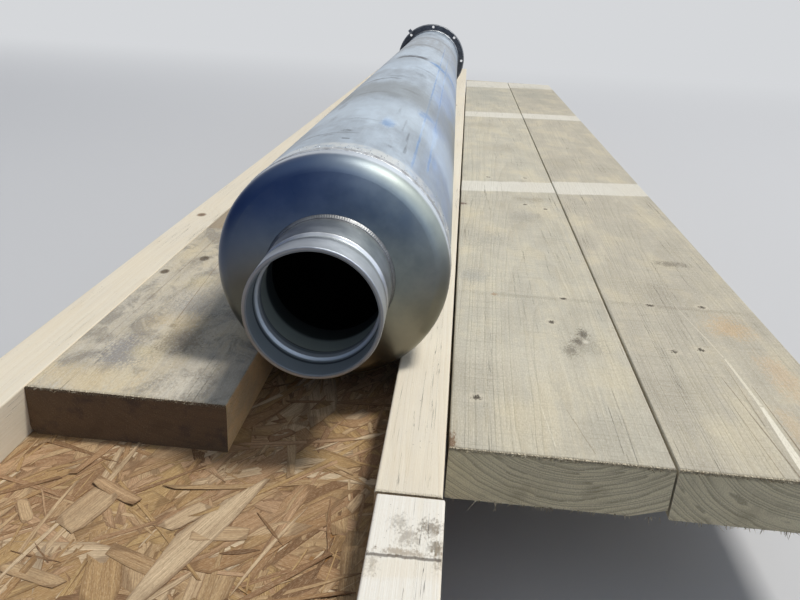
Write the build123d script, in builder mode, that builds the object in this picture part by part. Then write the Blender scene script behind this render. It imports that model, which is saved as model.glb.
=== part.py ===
"""Scraped surface heat exchanger barrel lying on a timber rack.

Millimetres, +Z up. The origin is the centre of the grooved port's end face,
and the barrel's axis runs from it along +Y. The rack stands on the floor below.
"""
import math
import os

from build123d import *

os.makedirs("parts", exist_ok=True)

# Barrel: a 6 inch pipe shell and a shallow dished head with a knuckle and a straight skirt
shell_radius = 168.3 / 2
shell_wall = 3.4
crown_ratio = 1.5
knuckle_ratio = 0.085
head_skirt = 13.5

# Port: a 3 inch pipe stub with a rolled groove and the bead that rolling pushes inwards
port_radius = 88.9 / 2
port_wall = 3.05
port_length = 64.0
port_inset = 5.0
groove_seat = 21.2
groove_width = 8.7
groove_depth = 2.0
groove_slope = 1.5
groove_round = 0.8
lip_round = 0.6

# Far flange with its bolt holes and the small lug on its rim
flange_front = 2058.0
flange_width = 20.5
flange_thickness = 14.0
flange_chamfer = 2.5
bolt_count = 8
bolt_hole_radius = 4.0
bolt_circle_share = 0.6
lug_width = 10.0
lug_height = 8.0
lug_angle = 132.0

# Weld beads
seam_bead_width = 9.0
seam_bead_height = 0.8
seam_bead_seat = 0.05
port_weld_leg = 2.4
flange_weld_leg = 4.0

# Timber sections: weathered 2 by 6 and 2 by 2 boards, a little shrunk, on 2 by 4 bearers
board_thickness = 37.0
plank_width = 137.0
rail_width = 38.0
board_ease = 1.5
block_round = 8.0
wane_width = 22.0
wane_height = 7.0
bearer_height = 89.0
bearer_width = 38.0
sheet_thickness = 11.0

# Rack layout, along the rack from the port's end face
rack_front = -290.0
rack_length = 2880.0
sheet_length = 2438.0
plank_length = 2200.0
plank_front = -27.0
rail_joint = -76.0
right_sheet_front = 200.0
near_block_front = -3.0
near_block_length = 366.0
far_block_front = 1560.0
far_block_length = 366.0
bearer_intervals = 4

# Gaps: from the axis to the boards that carry the barrel, and between boards
half_gap = 50.5
rail_half_gap = 52.0
front_rail_shift = 1.5
rail_gap = 2.0
plank_gap = 1.5
butt_gap = 2.0
seat_clearance = 0.3

# Heights from the axis down: the seam's bead rests on the boards' eased edges
seat_reach = shell_radius + seam_bead_height + seat_clearance + board_ease
board_top = board_ease - math.sqrt(seat_reach**2 - (half_gap + board_ease) ** 2)
board_base = board_top - board_thickness
sheet_base = board_base - sheet_thickness
floor = sheet_base - bearer_height

# Head: the crown is a sphere that passes the port's root, and the knuckle rounds its rim
crown_radius = crown_ratio * 2 * shell_radius
knuckle_radius = knuckle_ratio * 2 * shell_radius
crown_centre = port_length + math.sqrt(crown_radius**2 - port_radius**2)
crown_apex = crown_centre - crown_radius
crown_rim = crown_centre - math.sqrt(crown_radius**2 - shell_radius**2)
knuckle_height = math.sqrt((crown_radius - knuckle_radius) ** 2 - (shell_radius - knuckle_radius) ** 2)
knuckle_end = crown_centre - knuckle_height

# Stations along the barrel
head_seam = knuckle_end + head_skirt
flange_back = flange_front + flange_thickness
flange_radius = shell_radius + flange_width
bolt_circle_radius = shell_radius + bolt_circle_share * flange_width

# The barrel lies askew on the rack, so that the flange's rim rests on the right rail too
flange_reach = flange_radius + seat_clearance + board_ease
far_half_gap = math.sqrt(flange_reach**2 - (board_ease - board_top) ** 2) - board_ease
rack_turn = math.atan2(far_half_gap - rail_half_gap, flange_front - head_seam)


def left_edge_at(block_end):
    """Return how far left a block's edge lies so that its far corner meets the barrel."""
    return -half_gap - (block_end - head_seam) * math.tan(rack_turn)


# Edges across the rack
rack_rear = rack_front + rack_length
near_block_end = near_block_front + near_block_length
far_block_end = far_block_front + far_block_length
near_block_edge = left_edge_at(near_block_end)
far_block_edge = left_edge_at(far_block_end)
left_rail_inner = near_block_edge - plank_width
left_edge = left_rail_inner - rail_width
right_rail_outer = rail_half_gap + rail_width
inner_plank_edge = right_rail_outer + rail_gap
outer_plank_edge = inner_plank_edge + plank_width + plank_gap
right_edge = outer_plank_edge + plank_width
sheet_joint = rack_front + sheet_length

# The rack's plane is turned about the point below the head's seam
across_rack = Vector(math.cos(rack_turn), -math.sin(rack_turn), 0)
along_rack = Vector(math.sin(rack_turn), math.cos(rack_turn), 0)
rack_origin = Vector(0, head_seam, 0) - along_rack * head_seam
rack_plane = Plane(origin=rack_origin, x_dir=across_rack, z_dir=(0, 0, 1))


def cross_section(station):
    """Return the plane across the barrel at a station, centred on its axis."""
    return Plane(origin=(0, station, 0), x_dir=(-1, 0, 0), z_dir=(0, 1, 0))


# Barrel shell, open at the far flange
with BuildPart() as barrel_shell:
    with BuildSketch(cross_section(head_seam)):
        Circle(shell_radius)
        Circle(shell_radius - shell_wall, mode=Mode.SUBTRACT)
    extrude(amount=flange_back - head_seam)
barrel_shell.part.label = "barrel_shell"
export_step(barrel_shell.part, "parts/barrel_shell.step")

def dished_form(inset):
    """Return the solid that lies inside the head's outer surface by an inset."""
    skin_radius = shell_radius - inset
    turn = math.atan2(shell_radius - knuckle_radius, knuckle_height)
    crown_end = (
        (crown_radius - inset) * math.sin(turn),
        crown_centre - (crown_radius - inset) * math.cos(turn),
    )
    with BuildPart() as form:
        with BuildSketch(Plane.XY):
            with BuildLine():
                Line((0, head_seam), (0, crown_apex + inset))
                RadiusArc((0, crown_apex + inset), crown_end, inset - crown_radius)
                RadiusArc(crown_end, (skin_radius, knuckle_end), inset - knuckle_radius)
                Line((skin_radius, knuckle_end), (skin_radius, head_seam))
                Line((skin_radius, head_seam), (0, head_seam))
            make_face()
        revolve(axis=Axis.Y)
    return form.part


# Near head: the outer form less the inner one, with a hole that the port passes through
with BuildPart() as near_head:
    add(dished_form(0))
    add(dished_form(shell_wall), mode=Mode.SUBTRACT)
    with BuildSketch(cross_section(0)):
        Circle(port_radius)
    extrude(amount=head_seam, mode=Mode.SUBTRACT)
near_head.part.label = "near_head"
export_step(near_head.part, "parts/near_head.step")

# Weld bead round the seam between head and shell
with BuildPart() as head_weld:
    with BuildSketch(Plane.XY):
        with BuildLine():
            bead_base = shell_radius + seam_bead_seat
            bead_front = (bead_base, head_seam - seam_bead_width / 2)
            bead_back = (bead_base, head_seam + seam_bead_width / 2)
            ThreePointArc(bead_front, (shell_radius + seam_bead_height, head_seam), bead_back)
            Line(bead_back, bead_front)
        make_face()
    revolve(axis=Axis.Y)
head_weld.part.label = "head_weld"
export_step(head_weld.part, "parts/head_weld.step")

# Grooved port: a pipe stub whose wall steps in at the groove and shows as a bead inside
bore_radius = port_radius - port_wall
port_end = port_length + port_inset
groove_back = groove_seat + groove_width
with BuildPart() as grooved_port:
    with BuildSketch(Plane.XY) as port_profile:
        with BuildLine():
            Polyline(
                (port_radius, 0),
                (port_radius, groove_seat),
                (port_radius - groove_depth, groove_seat + groove_slope),
                (port_radius - groove_depth, groove_back - groove_slope),
                (port_radius, groove_back),
                (port_radius, port_end),
                (bore_radius, port_end),
                (bore_radius, groove_back + groove_slope),
                (bore_radius - groove_depth, groove_back),
                (bore_radius - groove_depth, groove_seat),
                (bore_radius, groove_seat - groove_slope),
                (bore_radius, 0),
                close=True,
            )
        make_face()
        rolled_corners = port_profile.vertices().filter_by_position(Axis.Y, 1, port_length)
        fillet(rolled_corners, radius=groove_round)
        fillet(port_profile.vertices().group_by(Axis.Y)[0], radius=lip_round)
    revolve(axis=Axis.Y)
grooved_port.part.label = "grooved_port"
export_step(grooved_port.part, "parts/grooved_port.step")

# Weld fillet round the port's root, cut to the crown
with BuildPart() as port_weld:
    with BuildSketch(Plane.XY):
        with BuildLine():
            weld_front = (port_radius, port_length - port_weld_leg)
            weld_side = (port_radius + port_weld_leg, port_length + port_weld_leg / 2)
            weld_root = (port_radius, port_length + port_weld_leg / 2)
            RadiusArc(weld_front, weld_side, -3 * port_weld_leg)
            Line(weld_side, weld_root)
            Line(weld_root, weld_front)
        make_face()
    revolve(axis=Axis.Y)
    add(dished_form(0), mode=Mode.SUBTRACT)
port_weld.part.label = "port_weld"
export_step(port_weld.part, "parts/port_weld.step")

# Far flange: a ring round the shell's end with its bolt holes
with BuildPart() as far_flange:
    with BuildSketch(cross_section(flange_front)):
        Circle(flange_radius)
        Circle(shell_radius, mode=Mode.SUBTRACT)
        with PolarLocations(bolt_circle_radius, bolt_count, start_angle=90):
            Circle(bolt_hole_radius, mode=Mode.SUBTRACT)
    extrude(amount=flange_thickness)
    rims = far_flange.edges().filter_by(GeomType.CIRCLE).group_by(SortBy.RADIUS)[-1]
    chamfer(rims, length=flange_chamfer)
far_flange.part.label = "far_flange"
export_step(far_flange.part, "parts/far_flange.step")

# Weld fillet between the shell and the flange's front face
with BuildPart() as flange_weld:
    with BuildSketch(Plane.XY):
        with BuildLine():
            weld_front = (shell_radius, flange_front - flange_weld_leg)
            weld_side = (shell_radius + flange_weld_leg, flange_front)
            weld_root = (shell_radius, flange_front)
            RadiusArc(weld_front, weld_side, -3 * flange_weld_leg)
            Line(weld_side, weld_root)
            Line(weld_root, weld_front)
        make_face()
    revolve(axis=Axis.Y)
flange_weld.part.label = "flange_weld"
export_step(flange_weld.part, "parts/flange_weld.step")

# Lug on the flange's rim, its foot cut to the rim
with BuildPart() as flange_lug:
    with BuildSketch(cross_section(flange_front + flange_chamfer)):
        with PolarLocations(flange_radius, 1, start_angle=180 - lug_angle):
            Rectangle(2 * lug_height, lug_width)
        Circle(flange_radius, mode=Mode.SUBTRACT)
    extrude(amount=flange_thickness - 2 * flange_chamfer)
flange_lug.part.label = "flange_lug"
export_step(flange_lug.part, "parts/flange_lug.step")


def slab(base, height, x_near, x_far, y_near, y_far):
    """Return a flat box on the rack's plane, between four edges."""
    with BuildPart() as box:
        with BuildSketch(rack_plane.offset(base)):
            with Locations(((x_near + x_far) / 2, (y_near + y_far) / 2)):
                Rectangle(x_far - x_near, y_far - y_near)
        extrude(amount=height)
    return box.part


def lay_board(name, left, width, front, length, worn_corner=0.0, wane=False):
    """Make one board with its long edges eased, a lower one of them worn or waney where asked."""
    with BuildPart() as board:
        add(slab(board_base, board_thickness, left, left + width, front, front + length))
        long_edges = board.edges().group_by(SortBy.LENGTH)[-1]
        lower_edges = long_edges.group_by(Axis.Z)[0].sort_by(Axis.X)
        if worn_corner:
            fillet(lower_edges[0], radius=worn_corner)
            long_edges = [edge for edge in long_edges if edge != lower_edges[0]]
        if wane:
            underside = board.faces().sort_by(Axis.Z)[0]
            chamfer(lower_edges[-1], length=wane_width, length2=wane_height, reference=underside)
            long_edges = [edge for edge in long_edges if edge != lower_edges[-1]]
        fillet(long_edges, radius=board_ease)
    board.part.label = name
    export_step(board.part, f"parts/{name}.step")


# Left boards: the outer rail, and the two blocks that the barrel rests on
lay_board("left_rail", left_edge, rail_width, rack_front, rack_length)
lay_board(
    "left_block_near",
    left_rail_inner,
    near_block_edge - left_rail_inner,
    near_block_front,
    near_block_length,
    worn_corner=block_round,
)
lay_board(
    "left_block_far",
    left_rail_inner,
    far_block_edge - left_rail_inner,
    far_block_front,
    far_block_length,
)

# Right boards: the rail in two lengths, then the two long planks beside it
front_rail_edge = rail_half_gap + front_rail_shift
front_rail_length = rail_joint - butt_gap - rack_front
lay_board("right_rail_front", front_rail_edge, rail_width, rack_front, front_rail_length)
lay_board("right_rail_rear", rail_half_gap, rail_width, rail_joint, rack_rear - rail_joint)
lay_board(
    "right_plank_inner", inner_plank_edge, plank_width, plank_front, plank_length, wane=True
)
lay_board("right_plank_outer", outer_plank_edge, plank_width, plank_front, plank_length)


def lay_sheet(name, x_near, x_far, y_near, y_far):
    """Make one deck sheet between four edges."""
    with BuildPart() as sheet:
        add(slab(sheet_base, sheet_thickness, x_near, x_far, y_near, y_far))
    sheet.part.label = name
    export_step(sheet.part, f"parts/{name}.step")


# Deck sheets: two in line under the barrel, and one under the long planks
lay_sheet("deck_sheet_left", left_edge, right_rail_outer, rack_front, sheet_joint)
lay_sheet(
    "deck_sheet_right", right_rail_outer + butt_gap, right_edge, right_sheet_front, sheet_joint
)
lay_sheet("deck_sheet_rear", left_edge, right_rail_outer, sheet_joint + butt_gap, rack_rear)

# Bearers on edge: a short one at each end, and the long ones evenly under the right sheet
first_station = right_sheet_front + bearer_width / 2
joint_station = sheet_joint + butt_gap / 2
bearer_pitch = (joint_station - first_station) / bearer_intervals
stations = [first_station + bearer_pitch * index for index in range(bearer_intervals + 1)]
stations = [rack_front + bearer_width / 2] + stations + [rack_rear - bearer_width / 2]
for number, station in enumerate(stations, start=1):
    bearer_end = right_rail_outer if number in (1, len(stations)) else right_edge
    with BuildPart() as bearer:
        front_face = station - bearer_width / 2
        add(slab(floor, bearer_height, left_edge, bearer_end, front_face, station + bearer_width / 2))
    bearer.part.label = f"bearer_{number}"
    export_step(bearer.part, f"parts/bearer_{number}.step")
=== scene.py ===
import math
import random

import bmesh
import bpy
from mathutils import Matrix, Vector, noise


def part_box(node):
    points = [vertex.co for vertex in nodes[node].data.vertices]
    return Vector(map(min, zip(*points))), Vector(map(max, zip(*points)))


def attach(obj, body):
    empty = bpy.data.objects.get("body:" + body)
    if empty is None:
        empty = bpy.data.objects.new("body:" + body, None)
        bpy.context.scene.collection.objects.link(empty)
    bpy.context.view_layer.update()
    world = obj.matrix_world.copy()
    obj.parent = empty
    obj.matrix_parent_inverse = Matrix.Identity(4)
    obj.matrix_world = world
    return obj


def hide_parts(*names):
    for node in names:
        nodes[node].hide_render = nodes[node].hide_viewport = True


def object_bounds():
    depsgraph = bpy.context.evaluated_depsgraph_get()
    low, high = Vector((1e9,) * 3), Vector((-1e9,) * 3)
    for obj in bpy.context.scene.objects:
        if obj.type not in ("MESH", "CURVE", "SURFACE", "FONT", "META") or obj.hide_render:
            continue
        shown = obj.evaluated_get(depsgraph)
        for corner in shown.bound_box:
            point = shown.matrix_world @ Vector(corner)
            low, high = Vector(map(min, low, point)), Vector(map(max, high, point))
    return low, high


# A stainless heat exchanger barrel lying on a timber rack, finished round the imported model.
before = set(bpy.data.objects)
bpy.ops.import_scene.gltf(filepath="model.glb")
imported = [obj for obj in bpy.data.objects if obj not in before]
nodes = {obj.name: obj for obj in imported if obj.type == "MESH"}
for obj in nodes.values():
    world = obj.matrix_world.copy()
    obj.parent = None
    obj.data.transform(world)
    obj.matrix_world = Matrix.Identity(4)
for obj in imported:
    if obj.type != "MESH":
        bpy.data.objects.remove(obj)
cad_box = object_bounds()

# Bearers: rough-sawn softwood on edge, one at each end of the rack and five between. The
# deck and the boards are nailed down into them.


class Flow:
    """The output of a shader node, for use in plain arithmetic."""

    def __init__(self, finish, socket):
        self.finish = finish
        self.socket = socket

    def maths(self, operation, *values):
        return self.finish.node("ShaderNodeMath", {"operation": operation}, dict(enumerate(values)))

    def __add__(self, other):
        return self.maths("ADD", self, other)

    def __sub__(self, other):
        return self.maths("SUBTRACT", self, other)

    def __rsub__(self, other):
        return self.maths("SUBTRACT", other, self)

    def __mul__(self, other):
        return self.maths("MULTIPLY", self, other)

    def __truediv__(self, other):
        return self.maths("DIVIDE", self, other)

    def __pow__(self, other):
        return self.maths("POWER", self, other)

    def __abs__(self):
        return self.maths("ABSOLUTE", self)

    __radd__ = __add__
    __rmul__ = __mul__

    def most(self, other):
        """The larger of two values."""
        return self.maths("MAXIMUM", self, other)

    def step(self, low, high):
        """Rise smoothly from 0 at low to 1 at high."""
        settings = {"interpolation_type": "SMOOTHSTEP"}
        ends = {"Value": self, "From Min": low, "From Max": high}
        return self.finish.node("ShaderNodeMapRange", settings, ends)


def tone(red, green, blue):
    """A colour written in 0 to 255, as a shader's linear colour."""
    return tuple((part / 255) ** 2.2 for part in (red, green, blue)) + (1.0,)


def hypotenuse(first, second):
    """How far off a place is, by two distances that are square to each other."""
    return (first * first + second * second) ** 0.5


class Finish:
    """The node tree of one procedural material, or of the world."""

    def __init__(self, name, kind="materials"):
        self.material = getattr(bpy.data, kind).new(name)
        self.material.use_nodes = True
        self.tree = self.material.node_tree
        self.tree.nodes.clear()

    def node(self, kind, settings=None, sockets=None, result=None):
        """Add a node: its settings first, then the values or links of its sockets."""
        made = self.tree.nodes.new(kind)
        for name, setting in (settings or {}).items():
            setattr(made, name, setting)
        for name, value in (sockets or {}).items():
            if isinstance(name, int):
                socket = made.inputs[name]
            else:
                socket = next(one for one in made.inputs if one.enabled and one.name == name)
            if isinstance(value, Flow):
                self.tree.links.new(value.socket, socket)
            else:
                socket.default_value = value
        outlet = next(one for one in made.outputs if one.enabled and result in (None, one.name))
        return Flow(self, outlet)

    def millimetres(self, corner=(0, 0, 0), turn=0.0):
        """Object coordinates in millimetres from a corner, turned square with a piece."""
        return self.node("ShaderNodeMapping", {}, {
            "Vector": self.node("ShaderNodeTexCoord", result="Object"),
            "Location": tuple(-part for part in corner),
            "Rotation": (0, 0, turn),
            "Scale": (1000, 1000, 1000),
        })

    def split(self, vector):
        """The three parts of a vector."""
        parts = self.node("ShaderNodeSeparateXYZ", {}, {"Vector": vector})
        return [Flow(self, one) for one in parts.socket.node.outputs]

    def join(self, *parts):
        """A vector of three parts."""
        return self.node("ShaderNodeCombineXYZ", {}, dict(enumerate(parts)))

    def around(self, place):
        """A place by the barrel: across, along, up, distance from the axis and bearing."""
        across, along, up = self.split(place)
        return across, along, up, hypotenuse(across, up), across.maths("ARCTAN2", across, up)

    def facing(self):
        """How far a face looks across, along and up, each from 0 to 1."""
        normal = self.node("ShaderNodeNewGeometry", result="Normal")
        return [abs(part) for part in self.split(normal)]

    def noise(self, place, grain, detail=2.0, rough=0.5, distortion=0.0):
        """Noise between 0 and 1, with the size of its grain in each direction."""
        sizes = {0: place, 1: tuple(1 / size for size in grain)}
        return self.node("ShaderNodeTexNoise", {}, {
            "Vector": self.node("ShaderNodeVectorMath", {"operation": "MULTIPLY"}, sizes),
            "Scale": 1.0,
            "Detail": detail,
            "Roughness": rough,
            "Distortion": distortion,
        })

    def mix(self, share, first, second):
        """The second colour over the first by a share; plain colours are in 0 to 255."""
        ends = [end if isinstance(end, Flow) else tone(*end) for end in (first, second)]
        sockets = {"Factor": share, "A": ends[0], "B": ends[1]}
        return self.node("ShaderNodeMix", {"data_type": "RGBA"}, sockets)

    def layers(self, colour, *coats):
        """A colour under coats, each a share and the colour that it lays over the others."""
        for share, shade in coats:
            colour = self.mix(share, colour, shade)
        return colour

    def bump(self, height, strength):
        """The normal of a height given in millimetres."""
        sockets = {"Height": height, "Strength": strength, "Distance": 0.001}
        return self.node("ShaderNodeBump", {}, sockets)

    def end(self, shader, output="ShaderNodeOutputMaterial"):
        """End the tree in a shader."""
        made = self.tree.nodes.new(output)
        self.tree.links.new(shader.socket, made.inputs["Surface"])
        return self.material

    def coat(self, sockets):
        """End the material in its surface shader."""
        return self.end(self.node("ShaderNodeBsdfPrincipled", {}, sockets))


sheet_corners = {tuple(vertex.co[:2]) for vertex in nodes["deck_sheet_left"].data.vertices}
sheet_corners = sorted(sheet_corners, key=lambda corner: corner[1])
front_corner, rear_corner = min(sheet_corners[:2]), min(sheet_corners[-2:])
rack_turn = math.atan2(rear_corner[0] - front_corner[0], rear_corner[1] - front_corner[1])
to_rack = Matrix.Rotation(rack_turn, 4, "Z") @ Matrix.Scale(1000, 4)
from_rack = to_rack.inverted()


def rack_box(node):
    """A board's lowest and highest corner in millimetres, square with the rack."""
    corners = [to_rack @ vertex.co for vertex in nodes[node].data.vertices]
    return Vector(map(min, zip(*corners))), Vector(map(max, zip(*corners)))


def dress(node, material):
    """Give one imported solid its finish."""
    solid = nodes[node].data
    solid.materials.clear()
    solid.materials.append(material)


def timber(node, pith, spacing, early, late, worn, wear, end_early, end_late, **marks):
    """Finish one board: growth rings round its pith, knots, wear and its sawn ends.

    Marks lie across and along it, in millimetres from its left near corner: knots by size,
    nails, scuffs by two reaches, strokes from place to place, bands and saw kerfs.
    """
    low, high = rack_box(node)
    wood = Finish(node + "_timber")
    place = wood.millimetres(low, rack_turn)
    across, along, up = wood.split(place)
    side, end, flat = [part.step(0.6, 0.8) for part in wood.facing()]

    wander = wood.noise(place, (150, 1100, 150), 1.0)
    ripple = wood.noise(place, (30, 170, 30), 3.0)
    from_pith = hypotenuse(across - pith[0], up - pith[1] - along * marks.get("lean", 0.012))
    bunch = wood.node("ShaderNodeTexNoise", {"noise_dimensions": "1D"}, {
        "W": from_pith / (spacing * 3.5),
        "Scale": 1.0,
        "Detail": 3.0,
    })
    rings = from_pith / spacing + (wander - 0.5) * 10.0 + (ripple - 0.5) * 1.5 + (bunch - 0.5) * 5.0
    knot_wood = 0.0
    knot_heart = 0.0
    for knot_across, knot_along, knot_size in marks.get("knots", ()):
        off = hypotenuse(across - knot_across, (along - knot_along) * 0.7)
        off = off + (ripple - 0.5) * knot_size * 1.4
        pull = off.maths("EXPONENT", (off / (2.6 * knot_size)) ** 2.0 * -1.0)
        rings = rings + pull * 3.2
        knot_wood = (1 - off.step(0.55 * knot_size, 1.15 * knot_size)).most(knot_wood)
        knot_heart = (1 - off.step(0.1 * knot_size, 0.5 * knot_size)).most(knot_heart)
    phase = rings.maths("FRACT", rings)
    late_wood = phase ** 2.2 * (1 - phase.step(0.86, 1.0))

    fibre = wood.noise(place, (0.55, 34, 0.55), 3.0, 0.6)
    streak = wood.noise(place, (3.2, 260, 3.2), 3.0, 0.55)
    patch = wood.noise(place, (60, 130, 60), 4.0, 0.6)
    cloud = wood.noise(place, (28, 50, 28), 5.0, 0.65)
    speck = wood.noise(place, (1.4, 2.2, 1.4), 2.0, 0.6)
    check = wood.noise(place, (2.0, 240, 2.0), 2.0, 0.5)
    drag = wood.noise(place, (46, 1.3, 46), 3.0, 0.6, 0.3)
    blotch = wood.noise(place, (44, 70, 44), 3.0, 0.6)
    pore = wood.noise(place, (0.9, 3.0, 0.9), 3.0, 0.7)

    colour = wood.mix(late_wood * marks.get("figure", 0.75), early, late)
    colour = wood.mix((streak - 0.45) * 0.8, colour, late)
    share = (patch * 0.55 + cloud * 0.45 + (streak - 0.5) * 0.5 + wear).step(0.3, 0.7)
    share = share * (1 - side * marks.get("fresh_sides", 0.5))
    colour = wood.mix(share * marks.get("cover", 0.85), colour, worn)
    colour = wood.mix(late_wood * late_wood * marks.get("silvered", 0.0), colour, late)
    # Sides can take a lighter orange tone: partly the fresher wood, partly painted light on the
    # sides.
    if "fresh_and_lit_side" in marks:
        colour = wood.mix(side * 0.8, colour, marks["fresh_and_lit_side"])
    mottled = marks.get("mottle", 0.0) * (1 - end)
    dragged = drag.step(0.52, 0.66) * (0.35 + patch.step(0.42, 0.6) * 0.65) * flat
    colour = wood.layers(
        colour,
        (blotch.step(0.46, 0.66) * mottled, (150, 144, 130)),
        ((1 - blotch.step(0.34, 0.5)) * mottled, (222, 208, 172)),
        (dragged * marks.get("dragged", 0.0), (104, 96, 84)),
    )
    if "stain" in marks:
        stain = wood.noise(place, (22, 38, 22), 4.0, 0.7, 0.6)
        shade, low_end, high_end = marks["stain"]
        colour = wood.mix(stain.step(low_end, high_end) * 0.7 * flat, colour, shade)
    for centre, half, slant, fade, pale in marks.get("bands", ()):
        middle = along - centre - across * slant + (cloud - 0.5) * 14.0
        band = 1 - abs(middle).step(half, half + fade)
        colour = wood.mix(band * (0.55 + patch * 0.6), colour, pale)
    for across_at, along_at, wide, deep, shade, depth in marks.get("scuffs", ()):
        away = hypotenuse((across - across_at) / wide, (along - along_at) / deep)
        away = away + (cloud - 0.5) * 1.6 + (streak - 0.5) * 0.7 + (speck - 0.5) * 2.0
        colour = wood.mix((1 - away.step(0.15, 1.0)) * depth, colour, shade)
    for first, last, width_at, width_end, shade, depth in marks.get("strokes", ()):
        run = (along - first[1]) / (last[1] - first[1])
        aside = abs(across - first[0] - run * (last[0] - first[0]) + (streak - 0.5) * 1.5)
        body = (run * (width_end - width_at) + width_at - aside).step(0.0, 0.5)
        body = body * run.step(0.0, 0.02) * (1 - run.step(0.97, 1.0)) * flat
        colour = wood.mix(body * depth, colour, shade)
    if marks.get("knots"):
        heart = wood.mix(knot_heart, marks.get("knot_tone", (96, 62, 36)), (38, 27, 20))
        colour = wood.mix(knot_wood * 0.9 * flat, colour, heart)
    furred = marks.get("furred", 0.3) * (1 - end)
    crack = 1 - abs(check - marks.get("crack_line", 0.66)).step(0.0, 0.006)
    crack = crack * patch.step(0.45, 0.6)
    colour = wood.layers(
        colour,
        ((fibre - 0.3) * 0.55, late),
        ((pore - 0.5) * 2.4 * furred, late),
        ((0.48 - pore) * 2.4 * furred, marks.get("fur", early)),
        (crack * 0.75 * (1 - end), (46, 36, 28)),
    )
    for kerf_along, kerf_half in marks.get("kerfs", ()):
        kerf = 1 - abs(along - kerf_along + (streak - 0.5) * 3.0).step(kerf_half * 0.4, kerf_half)
        colour = wood.mix(kerf * 0.75 * flat, colour, (74, 64, 54))
    for nail_across, nail_along in marks.get("nails", ()):
        off = hypotenuse(across - nail_across, along - nail_along)
        off = off + (speck - 0.5) * 9.0 + (fibre - 0.5) * 4.0
        colour = wood.mix((1 - off.step(3.0, 9.0)) * 0.28 * flat, colour, (226, 216, 192))
        colour = wood.mix((1 - off.step(1.4, 4.2)) * 0.9 * flat, colour, (56, 46, 34))
    rot = (1 - speck.step(0.24, 0.31)) * cloud.step(0.4, 0.6)
    colour = wood.mix(rot * marks.get("specks", 0.5), colour, (64, 52, 42))

    end_colour = wood.layers(
        wood.mix(late_wood * marks.get("end_figure", 0.85), end_early, end_late),
        ((1 - cloud.step(0.34, 0.5)) * marks.get("end_stain", 0.0), (62, 58, 60)),
        ((pore - 0.42) * 1.3, end_late),
        ((1 - pore.step(0.30, 0.44)) * 0.7, marks.get("glint", worn)),
        (cloud.step(0.5, 0.75) * 0.4, end_late),
    )
    colour = wood.mix(end, colour, end_colour)
    to_edge = (high - low).z - up + (1 - end) * along + (pore - 0.5) * 7.0 + (cloud - 0.5) * 3.0
    torn = 1 - to_edge.step(0.2, 2.6)
    torn = torn * (end + flat * (1 - end)) * marks.get("torn", 0.0)
    colour = wood.mix(torn, colour, wood.mix(pore.step(0.42, 0.56), (212, 200, 172), (96, 84, 62)))

    height = fibre * 0.22 + late_wood * marks.get("raised", 0.10) - crack * 0.9 + cloud * 0.5
    height = height + end * (pore - 0.5) * 1.6 - torn * 0.8
    if marks.get("knots"):
        height = height - knot_heart * flat * 0.5
    if "saw" in marks:
        saw = along * 0.9 + (ripple - 0.5) * 3.0
        height = height + saw.maths("SINE", saw) * marks["saw"]
    dress(node, wood.coat({
        "Base Color": colour,
        "Roughness": 0.62 + fibre * 0.25,
        "Specular IOR Level": 0.35,
        "Normal": wood.bump(height, marks.get("relief", 0.8)),
    }))


random.seed(11)
for number in range(1, 8):
    timber(
        f"bearer_{number}",
        (random.uniform(-10, 48), random.uniform(-30, 120)),
        random.uniform(3.2, 5.0),
        (188, 160, 118),
        (140, 106, 68),
        (138, 126, 108),
        0.0,
        (176, 148, 108),
        (112, 84, 54),
        saw=0.10,
        lean=random.uniform(-0.02, 0.02),
        knots=[(random.uniform(100, 500), 19.0, 9.0)],
    )

# Deck: three sheets of 11 mm strand board, pressed from big softwood flakes that lie in every
# direction. The flakes at the surface are a layer of their own, with torn and lifted edges.
for node in ("deck_sheet_left", "deck_sheet_right", "deck_sheet_rear"):
    sheet = Finish(node + "_board")
    place = sheet.millimetres(rack_box(node)[0], rack_turn)
    flat = sheet.facing()[2].step(0.6, 0.8)
    layer = sheet.noise(place, (14, 14, 0.8), 4.0, 0.65, 0.3)
    gap = sheet.noise(place, (7, 7, 0.6), 3.0, 0.6)
    edge_colour = sheet.mix(layer.step(0.3, 0.7), (112, 78, 46), (196, 158, 108))
    edge_colour = sheet.mix(1 - gap.step(0.3, 0.4), edge_colour, (52, 36, 24))
    cells = sheet.node("ShaderNodeMapping", {}, {
        "Vector": place, "Rotation": (0, 0, 0.6), "Scale": (0.045, 0.014, 0.05)})
    flake = sheet.node(
        "ShaderNodeTexVoronoi",
        {"feature": "F1", "distance": "CHEBYCHEV"},
        {"Vector": cells, "Scale": 1.0, "Randomness": 1.0},
        "Color",
    )
    shade = sheet.split(flake)[0]
    grain = sheet.noise(place, (60, 1.4, 4), 3.0, 0.6, 1.2)
    face_colour = sheet.mix(shade, (122, 86, 52), (182, 142, 94))
    face_colour = sheet.mix((grain - 0.35) * 0.8, face_colour, (96, 66, 38))
    height = layer * 0.5 * (1 - flat) + (grain + shade) * 0.35 * flat
    dress(node, sheet.coat({
        "Base Color": sheet.mix(flat, edge_colour, face_colour),
        "Roughness": 0.72 + grain * 0.15,
        "Specular IOR Level": 0.3,
        "Normal": sheet.bump(height, 0.9),
    }))

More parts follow.
